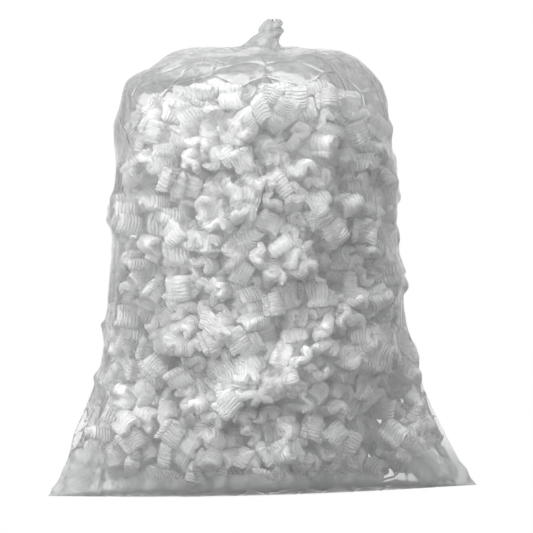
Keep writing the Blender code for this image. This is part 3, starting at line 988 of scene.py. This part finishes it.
def radial_folds(angle, radius):
    """Sharp folds that run in to the neck."""
    chance = np.random.default_rng(SEED)
    folds = np.zeros_like(angle)
    for _ in range(RADIAL_FOLDS):
        turned = np.abs((angle - chance.uniform(-math.pi, math.pi) + math.pi) % math.tau - math.pi)
        wide, long = chance.uniform(*RADIAL_WIDTHS), chance.uniform(*RADIAL_LENGTHS) * MM
        tall = chance.uniform(*RADIAL_HEIGHTS) * MM
        folds += tall * np.clip(1 - turned / wide, 0, 1) * np.exp(-((radius / long) ** 2))
    return folds


def crumpled(grid, out, folds):
    """Crumpled facets and folds over the crown, flatter on its top and at its sides."""
    z = grid[..., 2]
    sheet = (grid * (1, 1, FACET_SQUASH)).reshape(-1, 3)
    high = (z > WALL_END - CRUMPLE_FROM).ravel()
    crumple = np.zeros(z.size)
    for size, seed, tall in FACETS:
        crumple[high] += facets(sheet[high], size, seed) * tall
    crumple = crumple.reshape(z.shape) + folds - CRUMPLE_DROP
    facing = np.clip(np.abs(out[..., 1]), 0.0, 1.0)
    flatter = 1 - FLAT_TOP_SHARE * smooth_step(z, *FLAT_TOP)
    flatter *= SIDE_SHARE + (1 - SIDE_SHARE) * facing
    proud = np.where(crumple > 0, PROUD_SHARE, 1.0)
    return proud * crumple * smooth_step(z, *CRUMPLE_BAND) * flatter


def crown_forms(grid, out, angle, off_knot):
    """The slack crown: crumpling, puffs, its sunken middle and the full left shoulder."""
    z = grid[..., 2]
    radius = np.hypot(grid[..., 0] - NECK_OFFSET, grid[..., 1])
    forms = crumpled(grid, out, radial_folds(angle, radius)) * off_knot
    for place, size, tall in CROWN_PUFFS:
        away = np.linalg.norm(grid - np.array(place), axis=2)
        forms += tall * hump(away, 0.0, size)
    forms -= SINK * smooth_step(z, *SINK_HEIGHTS) * off_knot * smooth_step(radius, *SINK_RADII)
    height, size, tall = LEFT_SHOULDER
    return forms + tall * hump(z, height, size) * np.clip(-out[..., 0], 0.0, 1.0)


def crease_lift(grid, start, end, width):
    """A taut ridge between two places on the film's front, 1 along it and 0 past its width."""
    flat = grid[..., (0, 2)]
    start, end = np.array(start), np.array(end)
    along = end - start
    share = np.clip(((flat - start) @ along) / (along @ along), 0.0, 1.0)
    away = np.linalg.norm(flat - start - share[..., None] * along, axis=2)
    taper = np.sin(math.pi * np.clip(share, 0.02, 0.98)) ** 0.5
    return np.maximum(0.0, 1 - away / width) * taper * (grid[..., 1] < 0)


def tie_knot(grid, z, angle, flat_out, knot):
    """The film's gathered end is wound once round and pulled through."""
    tall = np.clip((z - BAG_HEIGHT - CROWN_RISE) / (KNOT_HEIGHT - CROWN_RISE), 0.0, 1.0)
    ruck = RUCK_HEIGHT * (np.abs(np.sin(RUCKS * angle + RUCK_TWIST * tall)) - 0.5)
    ruck += RUFFLE_HEIGHT * np.sin(RUFFLES * angle) * smooth_step(tall, *RUFFLE_RISE)
    height, slant, turned = WRAP
    wrap = tall - height - slant * np.sin(angle + turned)
    at, size, depth = WRAP_GROOVE
    ruck -= depth * hump(wrap, at, size)
    at, size, depth = WRAP_RIM
    ruck += depth * hump(wrap, at, size)
    grid += flat_out * (ruck * knot)[..., None]
    mouth = smooth_step(tall, *MOUTH_RISE)
    grid[..., 2] += (MOUTH_WAVE * np.sin(MOUTH_WAVES * angle) - MOUTH_DROP) * mouth


def slack_and_shade_share(x, z):
    """How slack, doubled or sealed the film is, from 0 to 1, with painted shade in the band along the
    bottom.
    """
    tied = smooth_step(z, BAG_HEIGHT - TIED_BELOW, BAG_HEIGHT + CROWN_RISE)
    crown = SLACK_CROWN_SHARE * smooth_step(z, *SLACK_CROWN) + (1 - SLACK_CROWN_SHARE) * tied
    tip = smooth_step(np.abs(x), *TIP_REACH) * (1 - smooth_step(z, *TIP_HEIGHTS))
    # The band along the bottom: sealed, doubled film, and painted shade where the film turns under
    # towards the floor
    uneven = sum(tall * np.sin(x / length) for length, tall in SEAL_SHADE_UNEVEN)
    seal = 1 - smooth_step(z + uneven, *SEAL_SHADE_HEIGHTS)
    return np.maximum(crown, np.maximum(TIP_SHARE * tip, SEAL_SHADE_SHARE * seal))


def sheet_of_film(grid, slack, length):
    """A flat sheet, its UV map in metres, is moved to the film's places and its seams closed."""
    count, spans = grid.shape[0] - 1, grid.shape[1] - 1
    film, column, row = flat_grid("bag_of_film", spans, count)
    film.data.vertices.foreach_set("co", grid[row, column].ravel())
    uv = uv_places(film.data) * (2 * FLAT_WIDTH, length)
    film.data.uv_layers.active.data.foreach_set("uv", uv.ravel())
    # Slack, doubled film and the painted shade along the bottom, for the film's haze and grey
    milky = film.data.attributes.new("slack", "FLOAT", "POINT")
    milky.data.foreach_set("value", slack[row, column])
    bpy.ops.object.mode_set(mode="EDIT")
    bpy.ops.mesh.select_all(action="SELECT")
    bpy.ops.mesh.remove_doubles(threshold=0.02 * MM)
    bpy.ops.object.mode_set(mode="OBJECT")
    bpy.ops.object.shade_smooth()
    return film


def make_film(finish, fill):
    """The film's flat sheet is rolled up, wrapped over the fill, gathered and tied."""
    grid, rows, length = film_grid()
    out = outward(grid)
    z = grid[..., 2]
    loose = smooth_step(z, WALL_END, LOOSE_FROM)
    off_floor = smooth_step(z, *FLOOR_REST)
    grid = grid - out * sag(grid[..., 0], grid[..., 1], z)[..., None]
    z = grid[..., 2]

    # Slack folds on the shoulders and gathers round the neck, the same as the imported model's
    angle = np.arctan2(grid[..., 1], grid[..., 0] - rows[:, 4][:, None])
    flat_out = np.stack([np.cos(angle), np.sin(angle), 0 * angle], axis=2)
    share = np.clip((z - WALL_END) / SHOULDER_DROP, 0.0, 1.0)
    swell = SLACK * np.sin(3 * angle + 0.7) + DRAPE_HEIGHT * np.sin(DRAPES * angle + 1.9)
    swell *= np.sin(math.pi * share)
    knot = smooth_step(z, BAG_HEIGHT + 0.7 * CROWN_RISE, BAG_HEIGHT + 1.3 * CROWN_RISE)
    full = (NECK_WIDTH / 2 / np.maximum(rows[:, 1], NECK_WIDTH / 2))[:, None] ** 0.5
    pleat = GATHER_HEIGHT * (np.cos(GATHERS * angle) - 1) * share**2 * full

    lift = wrapped(grid, rows, out, fill) * (1 - loose) * off_floor
    lift += low_forms(grid, out) + crown_forms(grid, out, angle, 1 - knot)
    for start, end, width, tall in CREASES:
        lift += tall * crease_lift(grid, start, end, width)
    grid = grid + out * lift[..., None] + flat_out * (swell * (1 - knot))[..., None]
    grid[..., 2] += pleat * (1 - knot)
    grid[..., 0] -= SLUMP * banded(z, *SLUMP_BAND)
    tie_knot(grid, z, angle, flat_out, knot)
    grid[:, 0], grid[:, -1] = (grid[:, 0] + grid[:, -1]) / 2, (grid[:, 0] + grid[:, -1]) / 2
    grid[..., 2] = np.maximum(grid[..., 2], 0.0)
    film = sheet_of_film(grid, slack_and_shade_share(grid[..., 0], z), length)
    film.data.materials.append(finish)
    return film, length


def faces_of(pieces):
    """Points and faces of several pieces as one."""
    points, faces = [], []
    for piece in pieces:
        start = len(points)
        points += [v.co.copy() for v in piece.data.vertices]
        faces += [[start + k for k in p.vertices] for p in piece.data.polygons]
    return points, faces


def tuck_in(piece, cover):
    """Dents the corners of peanuts that come out past the film back under it."""
    for vertex in piece.data.vertices:
        away = Vector((vertex.co.x, vertex.co.y, 0.0)).normalized()
        if cover.ray_cast(vertex.co, away, BODY_DEPTH)[0] is not None:
            continue
        hit = cover.ray_cast(vertex.co, -away, TUCK_REACH)
        if hit[0] is not None:
            vertex.co = hit[0] - away * TUCK
    piece.data.update()


# The stage


def make_floor():
    bpy.ops.object.select_all(action="DESELECT")
    bpy.ops.mesh.primitive_plane_add(size=FLOOR_SIZE, location=(0, 0, -FLOOR_DROP))
    floor = bpy.context.active_object
    floor.name = "paper_sweep"
    floor.data.materials.append(floor_material())


def make_soft_light():
    """Soft light from all round, brighter from one side. The camera sees it as plain white."""
    world = bpy.data.worlds.new("soft_studio")
    world.use_nodes = True
    bpy.context.scene.world = world
    tree = world.node_tree
    tree.nodes.clear()
    way = add_node(tree, "TexCoord")
    towards = add_node(
        tree, "VectorMath", {1: SOFT_SIDE}, {0: (way, "Generated")}, operation="DOT_PRODUCT",
    )
    darkest, brightest = SOFT_RANGE
    glow = add_node(
        tree, "MapRange",
        {"From Min": -1.0, "From Max": 1.0, "To Min": darkest, "To Max": brightest},
        {"Value": (towards, "Value")},
    )
    soft = add_node(tree, "Background", {"Color": WHITE}, {"Strength": (glow, "Result")})
    white = add_node(tree, "Background", {"Color": WHITE, "Strength": 1.0})
    both = add_node(
        tree, "MixShader",
        links={
            "Fac": seen_straight(tree), 1: (soft, "Background"),
            2: (white, "Background"),
        },
    )
    add_node(tree, "OutputWorld", links={"Surface": (both, "Shader")})


def add_lamp(name, place, aim, size, watts):
    data = bpy.data.lights.new(name, "AREA")
    data.shape = "RECTANGLE"
    data.size, data.size_y = size
    data.energy = watts
    lamp = bpy.data.objects.new(name, data)
    lamp.location = place
    lamp.rotation_euler = (Vector(aim) - Vector(place)).to_track_quat("-Z", "Y").to_euler()
    bpy.context.scene.collection.objects.link(lamp)


def make_camera():
    data = bpy.data.cameras.new("camera")
    data.sensor_width = CAMERA_SENSOR
    data.lens = CAMERA_SENSOR * CAMERA_DISTANCE / VIEW_WIDTH
    camera = bpy.data.objects.new("camera", data)
    away = Vector((0.0, -math.cos(VIEW_ELEVATION), math.sin(VIEW_ELEVATION)))
    camera.location = Vector(VIEW_MIDDLE) + away * CAMERA_DISTANCE
    level_view = (-away).to_track_quat("-Z", "Y").to_matrix()
    camera.rotation_euler = (level_view @ Matrix.Rotation(VIEW_ROLL, 3, "Z")).to_euler()
    bpy.context.scene.collection.objects.link(camera)
    bpy.context.scene.camera = camera


def make_fill():
    """All the peanuts: two pieces of loose ones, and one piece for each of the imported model's."""
    skin = foam_material("foam_skin_extruded", True)
    torn = foam_material("foam_end_torn", False)
    own = sorted(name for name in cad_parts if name.startswith("peanut_"))
    fixed = [place_of(name) for name in own]
    turns, middles = pack_peanuts(fixed)
    plain = model_peanut("plain_peanut", PLAIN_SPANS, PLAIN_CUTS, skin, torn)
    fine = model_peanut("ribbed_peanut", FINE_SPANS, FINE_CUTS, skin, torn, ribs=RIB_HEIGHT)
    upwards = np.argsort(middles[:, 2])
    lower, upper = np.split(upwards, [len(turns) // 2])
    low = merged_peanuts("fill_low", plain, turns[lower], middles[lower], 1, DENT)
    high = merged_peanuts("fill_high", plain, turns[upper], middles[upper], 2, DENT)
    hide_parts("loose_fill")
    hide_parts("loose_fill")
    pieces = [low, high]
    for seed, (name, (turned, middle)) in enumerate(zip(own, fixed), start=10):
        piece = merged_peanuts(f"foam_{name}", fine, turned[None], middle[None], seed, FINE_DENT)
        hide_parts(name)
        pieces.append(piece)
    for pattern in (plain, fine):
        bpy.data.objects.remove(pattern)
    return pieces


def main():
    bpy.context.scene.view_settings.view_transform = "Standard"
    make_camera()
    pieces = make_fill()
    film, length = make_film(film_material(), faces_of(pieces))
    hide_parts("bag_film")
    cover = BVHTree.FromPolygons(*faces_of([film]))
    for piece in pieces:
        tuck_in(piece, cover)
    for piece in pieces:
        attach(piece, "root")
    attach(film, "root")
    make_floor()
    make_soft_light()
    for lamp in LAMPS:
        add_lamp(*lamp)


main()
